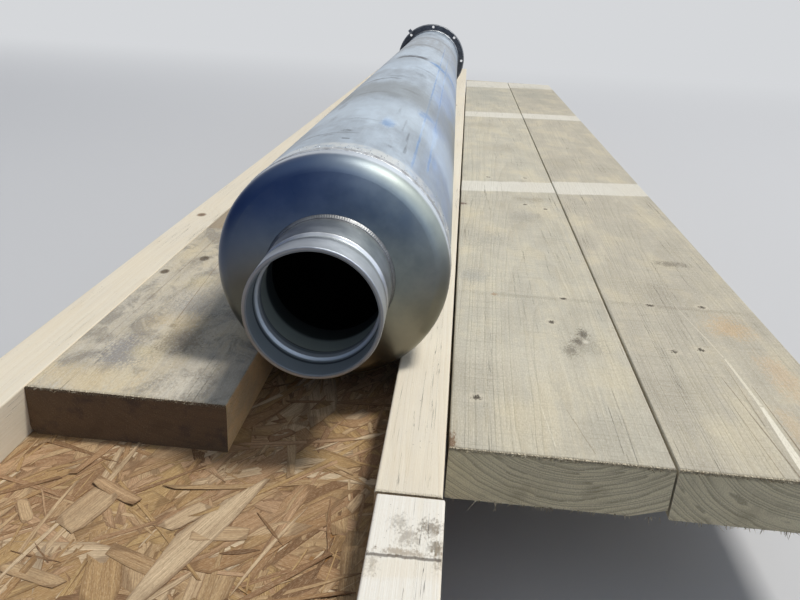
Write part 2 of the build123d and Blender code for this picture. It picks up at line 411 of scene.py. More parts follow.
flakes = Finish("surface_flakes")
flake_place = flakes.node("ShaderNodeTexCoord", result="UV")
flake_tone = flakes.node("ShaderNodeAttribute", {"attribute_name": "tone"}, result="Fac")
flake_grain = flakes.noise(flake_place, (55, 1.1, 1), 4.0, 0.62)
flake_rays = flakes.noise(flake_place, (9, 0.5, 1), 3.0, 0.7)
flake_band = flakes.noise(flake_place, (120, 5.5, 1), 2.0, 0.5)
flake_ramp = flakes.node("ShaderNodeValToRGB", {}, {"Fac": flake_tone})
flake_stops = flake_ramp.socket.node.color_ramp.elements
flake_stops[0].color = tone(98, 72, 50)
flake_stops[1].position = 1.0
flake_stops[1].color = tone(236, 216, 182)
for spot, shade in (
    (0.06, (150, 116, 84)),
    (0.12, (170, 134, 102)),
    (0.25, (196, 164, 112)),
    (0.4, (168, 132, 92)),
    (0.55, (202, 166, 130)),
    (0.7, (188, 158, 116)),
    (0.85, (212, 182, 142)),
):
    flake_stops.new(spot).color = tone(*shade)
flake_rim = flakes.node("ShaderNodeAttribute", {"attribute_name": "edge"}, result="Fac")
flake_dirt = flakes.noise(flakes.millimetres(), (34, 34, 34), 5.0, 0.7)
flake_fibre = flakes.noise(flake_place, (22, 0.45, 1), 3.0, 0.7)
flake_crumb = flakes.noise(flake_place, (2.6, 0.7, 1), 4.0, 0.7, 0.5)
# Painted shade: each flake is darkened along its edges, as a thin shadow line in the gap round it.
flake_edge_shade = (flake_rim + (flake_rays - 0.5) * 0.5).step(0.72, 1.05)
flake_material = flakes.coat({
    "Base Color": flakes.layers(
        flake_ramp,
        ((flake_band - 0.4) * 0.9, (150, 112, 76)),
        ((flake_grain - 0.36) * 1.9, (122, 90, 60)),
        ((flake_fibre - 0.46) * 1.6, (96, 70, 46)),
        ((flake_crumb - 0.5) * 1.6, (236, 214, 176)),
        ((0.46 - flake_crumb) * 2.2, (88, 62, 40)),
        ((1 - flake_rays.step(0.3, 0.42)) * 0.5, (100, 76, 54)),
        (flake_edge_shade * 0.5, (92, 66, 44)),
        (flake_dirt.step(0.48, 0.72) * 0.4, (128, 108, 84)),
    ),
    "Roughness": 0.62 + flake_grain * 0.25,
    "Specular IOR Level": 0.35,
    "Normal": flakes.bump(flake_grain * 0.3 + flake_rays * 0.25 + flake_crumb * 0.3, 0.9),
})


def add_object(name, data):
    """Put an object into the scene."""
    made = bpy.data.objects.new(name, data)
    bpy.context.scene.collection.objects.link(made)
    return made


def add_shape(name, shape, material):
    """Turn a bmesh in the shared frame, in metres, into an object."""
    mesh = bpy.data.meshes.new(name)
    shape.to_mesh(mesh)
    shape.free()
    mesh.materials.append(material)
    return add_object(name, mesh)


def finish_piece(name, shape, material, smooth=False):
    """Turn a bmesh into a piece that rides on the rack."""
    piece = add_shape(name, shape, material)
    for face in piece.data.polygons:
        face.use_smooth = smooth
    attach(piece, "root")
    return piece


def press_flake(layer, dice, centre, turn, size, shade, point, lift, curl, level):
    """Lay one flake or sliver of a length and width in millimetres, thinning to its ends."""
    highest = 2.4
    length, width = size
    grain_map = layer.loops.layers.uv["grain"]
    tones = layer.verts.layers.float["tone"]
    edges = layer.verts.layers.float["edge"]
    made = bmesh.ops.create_grid(layer, x_segments=6, y_segments=2, size=0.5)["verts"]
    shift = dice.uniform(0, 900)
    pitch = dice.uniform(-0.006, 0.006)
    roll = dice.uniform(-0.02, 0.02)
    bow = dice.uniform(-0.0012, 0.0012)
    torn = [dice.uniform(-0.16, 0.16) for _ in range(2)]
    local = {}
    for vertex in made:
        span = abs(vertex.co.x * 2)
        along = (vertex.co.x + vertex.co.y * torn[vertex.co.x > 0] * width / 14) * length
        fray = max(0.06, 1 - span ** point * dice.uniform(0.75, 1.0) * (0.3 if point > 3 else 1.0))
        side = vertex.co.y * fray * width + bow * along * along + dice.uniform(-0.03, 0.03) * width
        vertex[edges] = max(abs(vertex.co.y * 2), 1.0 if span > 0.99 else 0.0)
        local[vertex] = (along, side)
    for face in {face for vertex in made for face in vertex.link_faces}:
        for loop in face.loops:
            run, side = local[loop.vert]
            loop[grain_map].uv = (run + shift, side + shift * 0.37)
    for vertex in made:
        run, side = local[vertex]
        spot = Vector((run, side))
        spot.rotate(Matrix.Rotation(turn, 2))
        rise = lift + pitch * run + roll * side + curl * run * run
        vertex.co = Vector((centre.x + spot.x, centre.y + spot.y, level + min(rise, highest)))
        vertex[tones] = shade


def lay_flakes(name, low, high, batches, seed, strays=()):
    """Strew batches of 120 flakes and slivers over the deck, between corners in millimetres."""
    dice = random.Random(seed)
    whole = bmesh.new()
    carrier = bpy.data.meshes.new("flake_batch")
    for _ in range(batches):
        layer = bmesh.new()
        layer.loops.layers.uv.new("grain")
        layer.verts.layers.float.new("tone")
        layer.verts.layers.float.new("edge")
        for _ in range(120):
            kind = dice.random()
            lengths, widths = next(sizes for limit, *sizes in (
                (0.40, (30, 130, 70), (6, 30, 13)),
                (0.62, (50, 190, 100), (2, 9, 4)),
                (1.00, (5, 46, 16), (0.5, 3.2, 1.1)),
            ) if kind < limit)
            size, shade = (dice.triangular(*lengths), dice.triangular(*widths)), dice.random()
            turn = dice.gauss(1.12, 0.5) if dice.random() < 0.72 else dice.uniform(0, math.pi)
            centre = Vector((dice.uniform(low.x, high.x), dice.uniform(low.y, high.y)))
            lift = dice.uniform(0.05, 0.55) + (0.25 if size[1] < 4 else 0.0)
            point, curl = dice.choice((1.3, 4.0, 9.0, 16.0)), dice.uniform(-0.00008, 0.00016)
            press_flake(layer, dice, centre, turn, size, shade, point, lift, curl, high.z)
        layer.to_mesh(carrier)
        layer.free()
        whole.from_mesh(carrier)
    bpy.data.meshes.remove(carrier)
    for start, end, width, shade, point, curl in strays:
        line = Vector(end) - Vector(start)
        centre = (Vector(start) + Vector(end)) / 2
        turn, size = math.atan2(line.y, line.x), (line.length, width)
        press_flake(whole, dice, centre, turn, size, shade, point, 1.0, curl, high.z)
    for vertex in whole.verts:
        vertex.co.x = min(max(vertex.co.x, low.x), high.x)
        vertex.co.y = min(max(vertex.co.y, low.y), high.y)
    bmesh.ops.solidify(whole, geom=whole.faces[:], thickness=0.4)
    bmesh.ops.transform(whole, matrix=from_rack, verts=whole.verts)
    finish_piece(name, whole, flake_material)


under_rail = 3
deck_left = rack_box("left_rail")[1].x - under_rail
deck_right = rack_box("right_rail_rear")[0].x + under_rail
deck_front, deck_top = rack_box("deck_sheet_left")[0].y, rack_box("deck_sheet_left")[1].z
deck_rear = rack_box("deck_sheet_rear")[1].y
near_end, bay_start = 500, 480
lay_flakes(
    "deck_flakes_near",
    Vector((deck_left, deck_front, deck_top)),
    Vector((deck_right, near_end, deck_top)),
    20,
    3,
    strays=[
        ((-26, -26), (-72, -150), 21, 0.93, 1.6, 0.0001),
        ((-52, -58), (-68, -82), 13, 0.9, 4.0, 0.0),
        ((-124, -60), (-140, -150), 3, 0.95, 1.6, 0.0),
        ((-142, -112), (-112, -116), 1.6, 0.02, 1.6, 0.0),
        ((-133, -104), (-118, -117), 1.2, 0.02, 1.6, 0.0),
        ((-20, -60), (2, -86), 2.0, 0.03, 1.6, 0.0),
        ((20, -40), (28, -90), 2.4, 0.05, 1.6, 0.0),
        ((7, -50), (-18, -126), 2.6, 0.9, 1.6, 0.0),
        ((-124, -90), (-113, -52), 21, 0.87, 9.0, 0.0),
        ((-126, -46), (-92, -63), 9, 0.62, 4.0, 0.004),
        ((-52, -84), (-20, -79), 12, 0.86, 9.0, 0.0),
        ((-31, -97), (-10, -91), 4, 0.0, 1.6, 0.0),
        ((-33, 16), (-19, 30), 9, 0.1, 4.0, 0.0),
        ((-31, 21), (-21, 27), 3, 0.98, 1.6, 0.004),
        ((0, 8), (16, 22), 2.4, 0.96, 1.6, 0.0),
        ((26, 26), (46, 38), 5, 0.97, 1.6, 0.0),
        ((-60, -150), (-160, -200), 14, 0.9, 4.0, 0.0001),
        ((-140, -122), (-104, -131), 9, 0.8, 9.0, 0.0002),
        ((-160, -70), (-146, -88), 7, 0.84, 9.0, 0.0),
    ],
)
lay_flakes(
    "deck_flakes_bay",
    Vector((deck_left, bay_start, deck_top)),
    Vector((deck_right, deck_rear, deck_top)),
    16,
    4,
)

# Boards on the deck: planed 2 by 2 rails, fresh and pale, and older 2 by 6 stuff gone grey
# in the weather. All are softwood, cut to length with a saw and nailed through the deck.
rail_look = dict(
    early=(229, 220, 200),
    late=(206, 186, 152),
    worn=(220, 214, 200),
    wear=0.0,
    end_early=(214, 192, 154),
    end_late=(180, 148, 106),
    figure=0.3,
    cover=0.6,
    specks=0.7,
    torn=0.6,
    crack_line=0.62,
    relief=0.6,
)
timber(
    "left_rail", (60, -70), 4.2, knots=[(16, 700, 6), (22, 1490, 7), (12, 2310, 5)], **rail_look)
timber(
    "right_rail_front", (-40, 40), 3.4, knots=[(26, 66, 6.5)],
    kerfs=[(165, 1.5)],
    bands=[(157, 4, 0.0, 5, (232, 226, 212))],
    scuffs=[
        (31, 188, 9, 9, (78, 64, 48), 0.7),
        (20, 180, 8, 10, (90, 76, 60), 0.5),
        (34, 174, 5, 7, (84, 76, 64), 0.7),
        (14, 190, 8, 9, (96, 88, 76), 0.45),
        (16, 168, 20, 4, (120, 100, 76), 0.6),
        (4, 160, 6, 16, (130, 118, 100), 0.5),
        (36, 172, 4, 14, (120, 108, 90), 0.6),
    ],
    **{
        **rail_look,
        "early": (238, 232, 216),
        "worn": (236, 236, 232),
        "specks": 1.0,
        "wear": 0.1,
    },
)
timber(
    "right_rail_rear", (80, -60), 4.0, knots=[(20, 640, 6), (14, 1600, 6)], **rail_look)

plank_look = dict(
    early=(204, 196, 174),
    late=(158, 146, 122),
    worn=(186, 182, 168),
    wear=0.05,
    end_early=(236, 225, 190),
    end_late=(148, 134, 102),
    glint=(244, 240, 222),
    figure=0.45,
    cover=0.8,
    silvered=0.12,
    furred=0.8,
    fur=(226, 220, 204),
    raised=0.25,
    mottle=0.25,
    dragged=0.25,
    torn=0.8,
    relief=1.0,
)
pale_band = (222, 218, 206)
scuff_grey = (126, 118, 104)
timber(
    "right_plank_inner", (78, 120), 2.9,
    nails=[(100, 264), (17.5, 65), (87, 600), (113, 584), (83, 207), (41, 751), (98, 763)],
    bands=[
        (684, 28, 0.20, 6, pale_band),
        (1414, 36, 0.17, 9, pale_band),
        (2086, 78, 0.2, 20, pale_band),
    ],
    strokes=[
        ((78, 60), (90, 8), 0.5, 0.7, (120, 106, 84), 0.5),
        ((60, 70), (66, 12), 0.5, 0.7, (226, 220, 200), 0.6),
    ],
    scuffs=[
        (103, 166, 24, 30, (132, 128, 118), 0.5),
        (107, 187, 7, 16, (70, 64, 56), 0.9),
        (100, 172, 10, 9, (80, 74, 66), 0.85),
        (93, 152, 9, 18, (98, 92, 82), 0.75),
        (107, 172, 4, 5, (224, 218, 202), 0.8),
        (15, 305, 20, 30, (140, 140, 138), 0.55),
        (32, 430, 30, 40, (142, 140, 134), 0.5),
        (80, 540, 36, 40, (146, 142, 134), 0.5),
        (35, 261, 4, 4, (170, 118, 66), 0.8),
        (70, 262, 90, 6, (150, 144, 130), 0.5),
        (60, 120, 60, 50, (206, 200, 182), 0.4),
        (0, 6, 6, 16, (104, 68, 36), 0.9),
        (2, 581, 9, 8, (84, 40, 30), 0.95),
        (96, 630, 34, 26, scuff_grey, 0.5),
        (60, 1000, 50, 60, scuff_grey, 0.25),
        (40, 1250, 60, 60, scuff_grey, 0.3),
        (60, 1800, 90, 300, (150, 152, 146), 0.5),
    ],
    **plank_look,
)
timber(
    "right_plank_outer", (85, 92), 3.1,
    nails=[(41, 265), (90, 271), (62, 176), (39, 168), (60, 1050)],
    bands=[
        (713, 36, 0.20, 6, pale_band),
        (1444, 36, 0.12, 9, pale_band),
        (2120, 62, 0.15, 20, pale_band),
    ],
    strokes=[
        ((62.5, 292), (77.3, 163), 0.4, 0.9, (214, 206, 186), 0.8),
        ((77.3, 163), (79.3, 89), 0.9, 1.6, (226, 219, 200), 0.9),
        ((79.3, 89), (77.8, 10), 1.6, 3.2, (238, 232, 214), 0.95),
        ((83, 120), (84, 20), 0.4, 0.9, (96, 82, 62), 0.8),
        ((73, 152), (72, 60), 0.4, 0.7, (92, 78, 60), 0.6),
        ((64, 130), (72, 0), 0.5, 0.9, (92, 78, 60), 0.7),
        ((58, 96), (62, 0), 0.4, 0.7, (92, 78, 60), 0.5),
    ],
    scuffs=[
        (90, 392, 22, 12, (96, 90, 80), 0.7),
        (101, 226, 26, 34, (200, 166, 122), 0.6),
        (112, 140, 18, 50, (204, 172, 134), 0.5),
        (92, 60, 10, 44, (206, 178, 140), 0.4),
        (60, 264, 90, 6, (140, 132, 118), 0.45),
        (60, 300, 60, 50, scuff_grey, 0.25),
        (30, 900, 40, 80, scuff_grey, 0.25),
        (60, 1900, 90, 300, (146, 146, 138), 0.45),
    ],
    **{**plank_look, "worn": (176, 170, 156), "wear": 0.1},
)
block_look = dict(
    early=(204, 192, 164),
    late=(168, 146, 112),
    worn=(202, 197, 184),
    wear=0.05,
    end_early=(124, 102, 78),
    end_late=(84, 69, 54),
    glint=(160, 140, 112),
    end_figure=0.3,
    end_stain=0.6,
    figure=0.45,
    fresh_sides=0.9,
    mottle=0.35,
    furred=0.8,
    fur=(226, 222, 210),
    specks=0.8,
    torn=0.5,
    relief=1.0,
    fresh_and_lit_side=(250, 208, 146),
)
grey_stain = ((124, 122, 118), 0.46, 0.66)
timber(
    "left_block_near", (150, 150), 3.6,
    knots=[(31, 267, 5), (8, 224, 5)],
    knot_tone=(52, 40, 30),
    stain=grey_stain,
    scuffs=[
        (41, 58, 24, 34, (112, 118, 130), 0.75),
        (63, 155, 34, 50, (134, 136, 138), 0.6),
        (54, 64, 12, 16, (214, 200, 160), 0.5),
        (48, 207, 20, 26, (212, 198, 160), 0.5),
        (59, 110, 6, 6, (84, 76, 70), 0.7),
        (76, 90, 26, 34, (118, 108, 98), 0.6),
        (96, 180, 30, 60, (224, 218, 198), 0.6),
        (100, 20, 26, 30, (218, 212, 196), 0.6),
        (30, 16, 50, 24, (216, 196, 156), 0.5),
        (64, 118, 30, 24, (222, 200, 156), 0.45),
    ],
    strokes=[
        ((46, 300), (58, 120), 0.5, 0.6, (120, 100, 84), 0.7),
        ((22, 330), (18, 30), 0.8, 0.5, (124, 106, 92), 0.5),
    ],
    **block_look,
)
timber(
    "left_block_far", (90, 90), 3.8, knots=[(60, 130, 8)], stain=grey_stain, **block_look)

# Torn fibres: the saw left fuzz and a few splinters round the near ends of the old boards.
# Each is a thin three-sided cone that stands or hangs out of the end grain.
fuzz = Finish("torn_fibres")
fuzz_grain = fuzz.noise(fuzz.millimetres(), (1.5, 3, 1.5), 3.0, 0.6)
fuzz_material = fuzz.coat({
    "Base Color": fuzz.mix(fuzz_grain.step(0.35, 0.65), (120, 106, 82), (222, 212, 186)),
    "Roughness": 0.8 + (fuzz_grain - 0.5) * 0.2,
    "Specular IOR Level": 0.3,
})
dice = random.Random(8)
fibres = bmesh.new()
for node, count in (("right_plank_inner", 300), ("right_plank_outer", 300), ("left_block_near", 70)):
    low, high = rack_box(node)
    for _ in range(count):
        upper = dice.random() < 0.72
        length = dice.triangular(0.8, 5.0, 1.9) * (1.0 if upper or dice.random() < 0.9 else 2.2)
        thick = dice.triangular(0.14, 0.5, 0.24)
        foot = Vector((
            dice.uniform(low.x + 2, high.x - 2),
            low.y + dice.uniform(-0.1, 0.5),
            high.z - dice.uniform(0.2, 2.0) if upper else low.z + dice.uniform(0.1, 0.8),
        ))
        sway = Matrix.Rotation(dice.gauss(0, 0.7), 4, "Z")
        droop = dice.gauss(-0.35, 0.35) if upper else dice.uniform(0.3, 1.3)
        lean = sway @ Matrix.Rotation(math.pi / 2 + droop, 4, "X")
        place = Matrix.Translation(foot) @ lean @ Matrix.Translation((0, 0, length * 0.4))
        bmesh.ops.create_cone(
            fibres, cap_ends=True, segments=3, radius1=thick, radius2=thick * 0.2, depth=length,
            matrix=place)
bmesh.ops.transform(fibres, matrix=from_rack, verts=fibres.verts)
finish_piece("torn_fibres", fibres, fuzz_material)

# Barrel shell: 6 inch stainless pipe with a dull mill finish, ground bright beside the seam.
# Dark rings and cloudy belts run round it, handling has left scrapes, and blue layout ink
# lies in two lines and some smears along its right shoulder.
shell_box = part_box("barrel_shell")
shell_radius = (shell_box[1].x - shell_box[0].x) / 2 * 1000
steel = Finish("mill_steel")
_, steel_along, _, steel_from_axis, bearing = steel.around(steel.millimetres())
arc = bearing * shell_radius
wrapped = steel.join(arc, steel_along, 0.0)
cloudy = steel.noise(wrapped, (46, 160, 1), 5.0, 0.62)
mottle = steel.noise(wrapped, (11, 24, 1), 4.0, 0.6)
drawn = steel.noise(wrapped, (0.7, 120, 1), 3.0, 0.6)
rolled = steel.noise(wrapped, (70, 1.6, 1), 3.0, 0.6)
scratch = steel.noise(wrapped, (1.1, 46, 1), 3.0, 0.7, 0.4)
tangled = steel.noise(wrapped, (30, 1.3, 1), 3.0, 0.7, 1.4)
wobble = steel.noise(wrapped, (26, 26, 1), 3.0, 0.6)

# Painted shade: the left flank is darkened down towards its lower side, and the right flank is
# painted a darker blue-grey.
left_flank_shade = (bearing * -1.0 + (wobble - 0.5) * 0.3).step(0.3, 1.05)
right_flank_shade = (bearing + (wobble - 0.5) * 0.3).step(0.8, 1.3)
# Painted shade: the inside of the bore is coloured dark and made rougher.
shaded_bore = 1 - steel_from_axis.step(shell_radius - 2.4, shell_radius - 1.2)
dark_rings = 0.0
for ring, wide, start, stop, depth in (
    (981, 34, -34, 34, 0.95),
    (789, 12, 10, 60, 0.5),
    (591, 9, -60, 14, 0.5),
    (492, 11, 8, 44, 0.5),
    (436, 8, -40, 14, 0.5),
    (1330, 34, -60, 60, 0.45),
    (1650, 44, -120, 120, 0.4),
    (240, 5, -20, 20, 0.4),
    (168, 4, -50, 10, 0.4),
    (1820, 36, -60, 20, 0.4),
):
    near = 1 - abs(steel_along - ring + (wobble - 0.5) * 16).step(wide * 0.3, wide)
    within = arc.step(start, start + 14) * (1 - arc.step(stop - 14, stop))
    dark_rings = (near * within * depth * (0.2 + mottle * 1.6)).most(dark_rings)
rubbed = (1 - scratch.step(0.2, 0.3)) * cloudy.step(0.4, 0.6)
smudge = mottle.step(0.62, 0.8) * cloudy.step(0.45, 0.7)
steel_colour = steel.layers(
    steel.mix(cloudy.step(0.3, 0.7), (170, 182, 192), (202, 214, 224)),
    ((mottle - 0.42) * 1.5, (140, 148, 154)),
    ((drawn - 0.5) * 0.7, (226, 230, 234)),
    (left_flank_shade * 0.75, (92, 94, 98)),
    (right_flank_shade * 0.45, (104, 122, 142)),
    (dark_rings, (52, 58, 68)),
    (rubbed * 0.5, (104, 106, 110)),
    (smudge * 0.45, (120, 116, 110)),
)

ink = 0.0
for line, start, stop, depth in ((53, 120, 1420, 0.6), (68, 150, 1160, 0.6)):
    aside = arc - line + (wobble - 0.5) * 3.4
    stroke = (1 - abs(aside).step(0.5, 1.8)) * steel_along.step(start, start + 25)
    stroke = stroke * (1 - steel_along.step(stop, stop + 200)) * depth * drawn.step(0.28, 0.45)
    ink = stroke.most(ink)
for spot_arc, spot_along, wide, deep, depth in (
    (22, 244, 9, 34, 0.65),
    (54, 965, 30, 36, 0.75),
    (88, 1002, 30, 40, 0.6),
    (58, 388, 16, 20, 0.7),
    (69, 330, 6, 80, 0.6),
    (50, 372, 8, 20, 0.5),
    (74, 215, 5, 40, 0.35),
    (60, 560, 9, 120, 0.22),
    (62, 300, 10, 70, 0.22),
    (62, 760, 10, 110, 0.2),
):
    away = hypotenuse((arc - spot_arc) / wide, (steel_along - spot_along) / deep)
    away = away + (wobble - 0.5) * 1.4 + (scratch - 0.5) * 0.8
    ink = ((1 - away.step(0.2, 1.0)) * depth).most(ink)
steel_colour = steel.mix(ink, steel_colour, (22, 100, 158))
for scrape_arc, scrape_along, wide, deep, depth in (
    (-4.9, 176, 6.0, 5, 0.8),
    (-1.4, 141, 4.5, 3, 0.8),
    (-36, 350, 5, 40, 0.6),
    (-43, 450, 5, 60, 0.6),
    (-30, 262, 4, 30, 0.5),
    (25.6, 330, 2.4, 34, 0.5),
    (35.9, 265, 1.8, 34, 0.5),
    (42.3, 221, 1.6, 26, 0.55),
    (43.7, 172, 1.8, 22, 0.55),
    (31.7, 152, 5, 6, 0.4),
    (-20, 160, 8, 6, 0.4),
    (12, 420, 14, 30, 0.35),
    (2, 620, 18, 20, 0.4),
    (30, 700, 12, 30, 0.35),
):
    away = hypotenuse((arc - scrape_arc) / wide, (steel_along - scrape_along) / deep)
    away = away + (mottle - 0.5) * 2.2 + (scratch - 0.5) * 1.6
    steel_colour = steel.mix((1 - away.step(0.2, 1.0)) * depth, steel_colour, (58, 64, 74))
ground = 1 - abs(steel_along - 110).step(9, 17)
dash = (1 - tangled.step(0.24, 0.33)) * cloudy.step(0.42, 0.55) * (1 - scratch.step(0.4, 0.6))
tinted = arc.step(44, 72) * (1 - arc.step(100, 124)) * (1 - steel_along.step(1100, 1700))
steel_colour = steel.layers(
    steel_colour,
    (ground * 0.8 * mottle.step(0.3, 0.6), (236, 236, 230)),
    (dash * 0.6, (84, 88, 94)),
    (tinted * 0.6 * cloudy.step(0.3, 0.6), (136, 158, 196)),
)
for middle, reach, shade, depth in (
    (480, 110, (132, 136, 134), 0.6),
    (300, 90, (226, 240, 250), 0.4),
    (820, 110, (214, 230, 244), 0.35),
    (1120, 130, (220, 230, 238), 0.3),
):
    belt = 1 - abs(steel_along - middle + (cloudy - 0.5) * 160).step(reach * 0.3, reach)
    steel_colour = steel.mix(belt * depth, steel_colour, shade)
warm = (1 - abs(steel_along - 1500).step(120, 330)) * mottle.step(0.3, 0.6)
steel_colour = steel.mix(warm * 0.4, steel_colour, (150, 142, 132))
steel_colour = steel.mix(shaded_bore, steel_colour, (40, 42, 46))
steel_rough = 0.38 + (cloudy - 0.5) * 0.26 + (scratch - 0.5) * 0.16 + smudge * 0.15 + ink * 0.2
steel_rough = steel_rough + shaded_bore * 0.3
steel_height = drawn * 0.035 + rolled * 0.02 + mottle * 0.10 + tangled * ground * 0.12
dress("barrel_shell", steel.coat({
    "Base Color": steel_colour,
    "Metallic": 1.0 - ink * 0.8 - dark_rings * 0.4,
    "Roughness": steel_rough,
    "Normal": steel.bump(steel_height, 0.35),
}))

# Near head: a pressed stainless dish, polished until it mirrors softly. Its colour carries
# painted reflections, a cool blue to the upper left and a warm brown to the lower right, and
# painted shade to the lower left. Beside its rim, where it is welded to the shell, lie a dark
# painted reflection in an arc, a brushed crescent with a painted highlight, and a thin band of
# painted highlight.
dish = Finish("polished_head")
dish_place = dish.millimetres()
dish_cloud = dish.noise(dish_place, (36, 36, 36), 4.0, 0.6)
dish_fine = dish.noise(dish_place, (5, 5, 5), 4.0, 0.65)
dish_across, dish_along, dish_up, dish_from_axis, dish_bearing = dish.around(dish_place)
middle_radius = 30.0
turned = dish.join(dish_from_axis, dish_bearing * middle_radius, dish_along)
turned_lines = dish.noise(turned, (0.5, 60, 0.5), 3.0, 0.6)
degrees = dish_bearing * math.degrees(1)
uneven = (dish_cloud - 0.5) * 30
# Masks of painted light in the dish's colour: a cool blue reflection to the upper left, a warm brown
# reflection to the lower right, and painted shade to the lower left.
cool_reflection_side = (dish_up * 0.7 - dish_across * 0.7 + uneven).step(0, 80)
warm_reflection_side = (dish_across * 0.7 - dish_up * 0.7 + uneven).step(20, 80)
lower_left_shade = (dish_up * -1.0 - dish_across * 0.7 + uneven).step(-20, 60)
from_lip = dish_along + (dish_cloud - 0.5) * 4
near_rim = from_lip.step(65.0, 78.0)
# By the rim: painted highlights at the bearings where the light falls, and a dark blue painted
# reflection in an arc above the rest.
lit_rim = degrees.step(-64, -24) * (1 - degrees.step(74, 110))
highlight_bearings = degrees.step(-20, 24) * (1 - degrees.step(64, 96))
dark_reflection_arc = near_rim * (1 - highlight_bearings) * dish_up.step(-30, 20)
dish_rough = 0.30 + (dish_cloud - 0.4) * 0.18 + (dish_fine - 0.5) * 0.12
dress("near_head", dish.coat({
    "Base Color": dish.layers(
        dish.mix(dish_cloud.step(0.3, 0.7), (104, 112, 112), (124, 131, 127)),
        ((dish_fine - 0.5) * 0.5, (90, 90, 90)),
        (cool_reflection_side * 0.5, (78, 104, 152)),
        (warm_reflection_side * 0.5, (138, 126, 104)),
        (lower_left_shade * 0.5, (86, 80, 72)),
        (dark_reflection_arc * 0.7, (54, 68, 94)),
        (near_rim * highlight_bearings * 0.35, (176, 180, 168)),
        (from_lip.step(80.5, 85.5) * lit_rim * 0.85, (206, 211, 216)),
        (dish_along.step(95.6, 97.6) * 0.7, (52, 54, 58)),
    ),
    "Metallic": 1.0,
    "Roughness": dish_rough + near_rim * highlight_bearings * 0.22,
    "Normal": dish.bump(turned_lines * 0.02 + dish_fine * 0.02, 0.3),
}))

# Port: a stub of 3 inch stainless pipe with a rolled coupling groove near its lip, left with
# the fine lines of the rolls round it, and with a machined end face. Inside, the groove's
# bead carries a painted highlight with painted shade just before it, and deeper in the wall
# takes a paler patch of painted light between a ring of painted shade and painted shade
# further in.
port_radius = 44.45
port_bore = port_radius - 1.45
stub = Finish("port_steel")
_, stub_along, _, stub_from_axis, stub_bearing = stub.around(stub.millimetres())
stub_round = stub.join(stub_from_axis, stub_bearing * port_radius, stub_along)
stub_lines = stub.noise(stub_round, (0.4, 50, 0.4), 3.0, 0.65)
stub_cloud = stub.noise(stub_round, (20, 20, 14), 4.0, 0.6)
inside = 1 - stub_from_axis.step(port_bore - 0.8, port_bore)
band = 1 - stub_along.step(15.5, 18.5)
# Inside the bore: a painted highlight on the groove's bead, and painted shade in the hollow just
# before it.
bead = stub_along.step(18.5, 21.0) * (1 - stub_along.step(24.5, 27.0)) * inside
shade_before_bead = (1 - abs(stub_along - 16.2).step(0.8, 2.0)) * inside
lip_face = 1 - stub_along.step(0.1, 0.6)
# Deeper in: a paler patch of painted light on the inner wall, with painted shade in a ring at its
# start and beyond it.
deep = stub_along.step(28.0, 30.0) * inside
interior_shade = 1 - abs(stub_along - 31.5).step(1.6, 3.2) * (1 - stub_along.step(48, 54))
stub_rough = 0.38 + (stub_cloud - 0.5) * 0.14 + (stub_lines - 0.5) * 0.14
dress("grooved_port", stub.coat({
    "Base Color": stub.layers(
        stub.mix(stub_cloud.step(0.3, 0.7), (166, 166, 164), (194, 194, 192)),
        ((stub_lines - 0.5) * 0.7, (138, 136, 134)),
        (band * 0.5, (196, 200, 204)),
        (inside * 0.85, (116, 128, 134)),
        (bead * 0.9, (186, 194, 200)),
        (shade_before_bead * 0.8, (30, 36, 40)),
        (lip_face * 0.55, (104, 110, 116)),
        (deep * 0.92, (176, 186, 178)),
        (interior_shade * inside * 0.9, (14, 16, 18)),
    ),
    "Metallic": 1.0 - inside * 0.6,
    "Roughness": stub_rough + inside * 0.2 + band * 0.06,
    "Normal": stub.bump(stub_lines * 0.05, 0.5),
}))

# Weld beads: one run of stainless filler at the head's seam, the port's root and the flange,
# rippled where the torch stepped on. The seam has been dressed down and shows spatter.
weld = Finish("weld_metal")
weld_place = weld.millimetres()
weld_cloud = weld.noise(weld_place, (7, 7, 7), 4.0, 0.6)
weld_grit = weld.noise(weld_place, (0.8, 0.8, 0.8), 3.0, 0.6)
_, weld_along, _, weld_from_axis, _ = weld.around(weld_place)
weld_material = weld.coat({
    "Base Color": weld.layers(
        weld.mix(weld_cloud.step(0.35, 0.65), (150, 150, 150), (196, 198, 198)),
        (weld_cloud.step(0.6, 0.75) * 0.4, (112, 102, 92)),
        ((1 - weld_from_axis.step(55, 60)) * 0.75, (84, 84, 84)),
        (weld_along.step(1500, 1600) * 0.7, (92, 96, 100)),
    ),
    "Metallic": 1.0,
    "Roughness": 0.36 + weld_grit * 0.2,
    "Normal": weld.bump(weld_grit * 0.12, 0.5),
})


